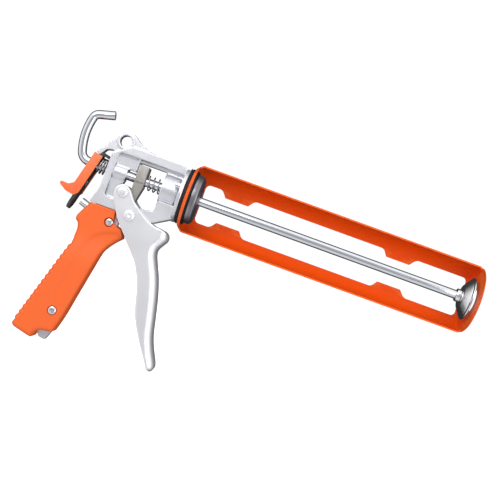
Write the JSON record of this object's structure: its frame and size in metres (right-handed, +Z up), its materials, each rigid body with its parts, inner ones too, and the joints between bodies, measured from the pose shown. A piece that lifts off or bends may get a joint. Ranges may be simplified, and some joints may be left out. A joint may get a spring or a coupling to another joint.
{
  "type": "caulking gun",
  "caption": "Hand caulking gun: cast body, orange grip and thumb release, smooth rod with hook, turning half-tube cradle for one standard cartridge.",
  "frame": {"origin": "middle of the grip, where a hand holds it", "axes": "+X along the rod towards the muzzle, +Z up from the hand towards the rod, the cradle opens towards -Y"},
  "size_m": [0.3303, 0.0533, 0.1852],
  "materials": {
    "cast_aluminium": "bead-blasted die casting",
    "trigger_aluminium": "satin tumbled casting",
    "orange_plastic": "moulded, fine grain",
    "orange_paint": "glossy powder coat on steel sheet",
    "lever_paint": "semi-matt powder coat",
    "chrome": "bright plated",
    "zinc": "zinc plated",
    "turned_steel": "turned, fine rings",
    "sintered_steel": "matt sintered",
    "black_rubber": "matt",
    "black_steel": "blackened",
    "spring_steel": "oiled spring wire"
  },
  "bodies": {
    "frame": {"frame_casting": "cast_aluminium", "stop_stud": "zinc", "retaining_nut": "turned_steel", "washer_front": "black_rubber", "washer_rear": "black_rubber", "flange_dowel": "zinc", "grip_left": "orange_plastic", "grip_right": "orange_plastic", "grip_screw_upper": "chrome", "grip_screw_lower": "chrome", "grip_nut_upper": "zinc", "grip_nut_lower": "zinc", "trigger_pivot_pin": "trigger_aluminium", "return_spring": "spring_steel", "release_spring": "spring_steel"},
    "cradle": {"cradle": "orange_paint"},
    "trigger": {"trigger": "trigger_aluminium", "drive_pin": "trigger_aluminium", "drive_roller": "turned_steel"},
    "drive": {"drive_block": "sintered_steel"},
    "piston": {"piston_dish": "zinc", "piston_hub": "zinc", "piston_nut": "zinc"},
    "rod": {"push_rod": "chrome"},
    "release": {"release_plate": "black_steel", "thumb_lever": "lever_paint", "lever_rivet": "zinc"}
  },
  "joints": [
    {"name": "cradle_turn", "type": "hinge", "parent": "frame", "child": "cradle", "pos_m": [0.068, 0, 0.086], "axis": [1, 0, 0], "continuous": true},
    {"name": "trigger_squeeze", "type": "hinge", "parent": "frame", "child": "trigger", "pos_m": [0.0316, 0, 0.0573], "axis": [0, 1, 0], "range_deg": [0, 30], "stiffness_Nm_per_rad": 0.6, "springref_deg": -20.05},
    {"name": "drive_slide", "type": "slide", "parent": "frame", "child": "drive", "axis": [1, 0, 0], "range_m": [0, 0.0092], "deforming": ["return_spring"]},
    {"name": "piston_slide", "type": "slide", "parent": "frame", "child": "piston", "axis": [1, 0, 0], "range_m": [-0.21, 0]},
    {"name": "rod_turn", "type": "hinge", "parent": "piston", "child": "rod", "pos_m": [0.068, 0, 0.086], "axis": [1, 0, 0], "range_deg": [-130, 130]},
    {"name": "release_press", "type": "hinge", "parent": "frame", "child": "release", "pos_m": [-0.0006, 0, 0.0943], "axis": [0, -1, 0], "range_deg": [0, 5], "stiffness_Nm_per_rad": 1.2, "springref_deg": -20.05, "deforming": ["release_spring"]}
  ],
  "couplings": [
    {"joint": "drive_slide", "follows": "trigger_squeeze", "m_per_rad": 0.01732}
  ]
}
